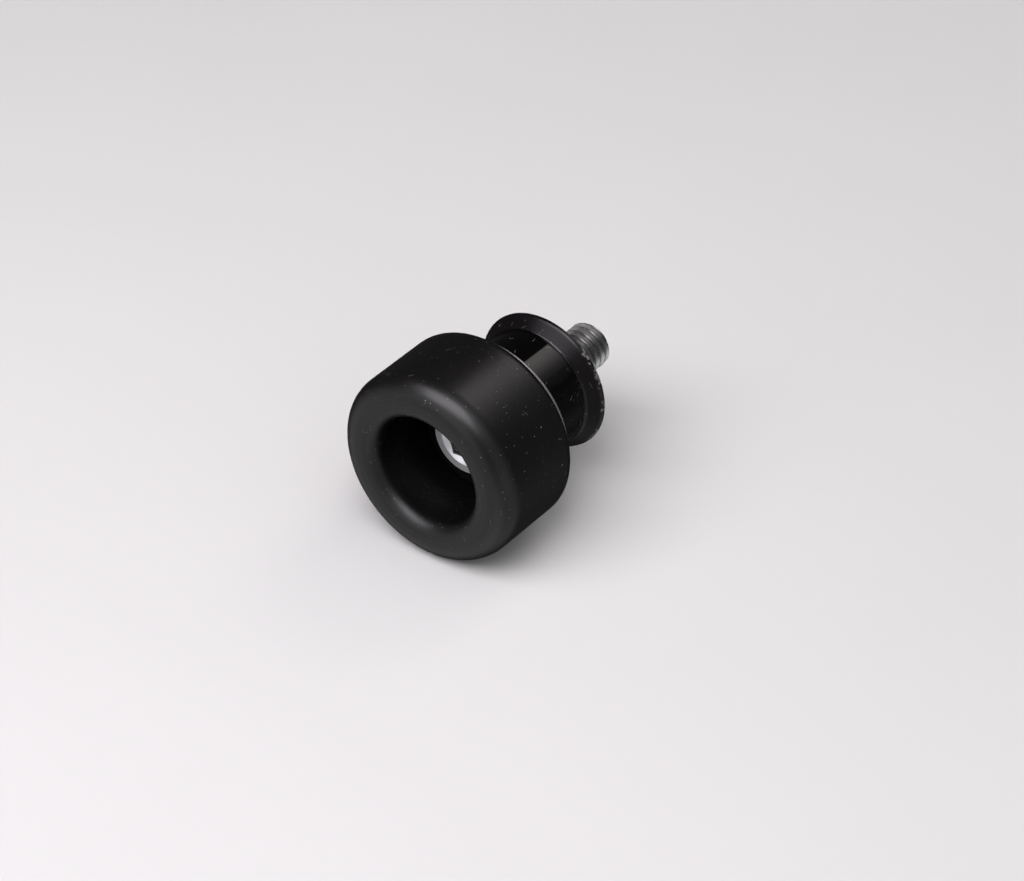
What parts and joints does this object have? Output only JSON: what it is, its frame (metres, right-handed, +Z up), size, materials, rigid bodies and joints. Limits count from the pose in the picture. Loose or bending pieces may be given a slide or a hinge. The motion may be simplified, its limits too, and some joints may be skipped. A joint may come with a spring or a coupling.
{
  "type": "swingarm spool",
  "caption": "Motorcycle swingarm spool: a rounded plastic slider puck with an open nose on a turned aluminium core with a collar, stand groove and seat flange, held by a socket head cap screw.",
  "frame": {"origin": "centre of the flange's seat face on the swingarm", "axes": "+Y along the spool's axis into the swingarm, with the nose towards -Y; +Z up as the spool sits on the motorcycle in the picture"},
  "size_m": [0.04, 0.0543, 0.04],
  "materials": {
    "puck_plastic": "turned, satin black",
    "core_black_aluminium": "black anodised, gloss on the neck and satin on the flange",
    "screw_steel": "zinc plated"
  },
  "bodies": {
    "root": {"slider_puck": "puck_plastic", "spool_core": "core_black_aluminium", "cap_screw": "screw_steel"}
  },
  "joints": []
}
